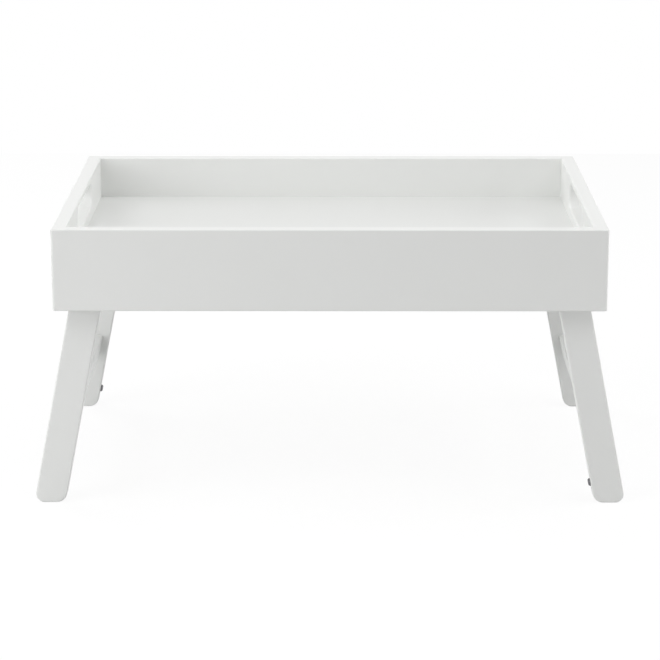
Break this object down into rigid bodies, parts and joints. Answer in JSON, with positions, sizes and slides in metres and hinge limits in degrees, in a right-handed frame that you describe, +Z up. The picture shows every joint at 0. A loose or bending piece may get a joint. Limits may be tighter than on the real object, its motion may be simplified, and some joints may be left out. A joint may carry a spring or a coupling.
{
  "type": "bed tray table",
  "caption": "White bed tray with a walled top, a rounded hand-hole in each short side and splayed leg frames that fold flat under it.",
  "frame": {"origin": "on the ground under the middle of the tray, with the legs open", "axes": "+X to the right along the tray's long side, +Y from its front to its rear, +Z up"},
  "size_m": [0.5434, 0.36, 0.2611],
  "materials": {
    "white_lacquer": "smooth white satin lacquer on solid wood and panel",
    "beech": "raw",
    "steel": "bright zinc plate",
    "dark_steel": "dark burnished",
    "brass": "turned",
    "nylon": "natural white",
    "nickel": "nickel plate"
  },
  "bodies": {
    "tray": {"front_board": "white_lacquer", "rear_board": "white_lacquer", "left_end_board": "white_lacquer", "right_end_board": "white_lacquer", "floor_panel": "white_lacquer", "corner_dowels": "beech", "pivot_inserts": "brass", "pivot_bolts": "steel", "pivot_spacers": "nylon", "pivot_washers": "steel", "left_catch_magnet": "nickel", "right_catch_magnet": "nickel"},
    "left_leg_frame": {"left_front_leg": "white_lacquer", "left_rear_leg": "white_lacquer", "left_crossbar": "white_lacquer", "left_crossbar_dowels": "beech", "left_pivot_bushes": "brass", "left_catch_screw": "dark_steel"},
    "right_leg_frame": {"right_front_leg": "white_lacquer", "right_rear_leg": "white_lacquer", "right_crossbar": "white_lacquer", "right_crossbar_dowels": "beech", "right_pivot_bushes": "brass", "right_catch_screw": "dark_steel"}
  },
  "joints": [
    {"name": "left_fold", "type": "hinge", "parent": "tray", "child": "left_leg_frame", "pos_m": [-0.21927, 0, 0.20056], "axis": [0, -1, 0], "range_deg": [0, 101.2]},
    {"name": "right_fold", "type": "hinge", "parent": "tray", "child": "right_leg_frame", "pos_m": [0.21927, 0, 0.20056], "axis": [0, 1, 0], "range_deg": [0, 101.2]}
  ]
}
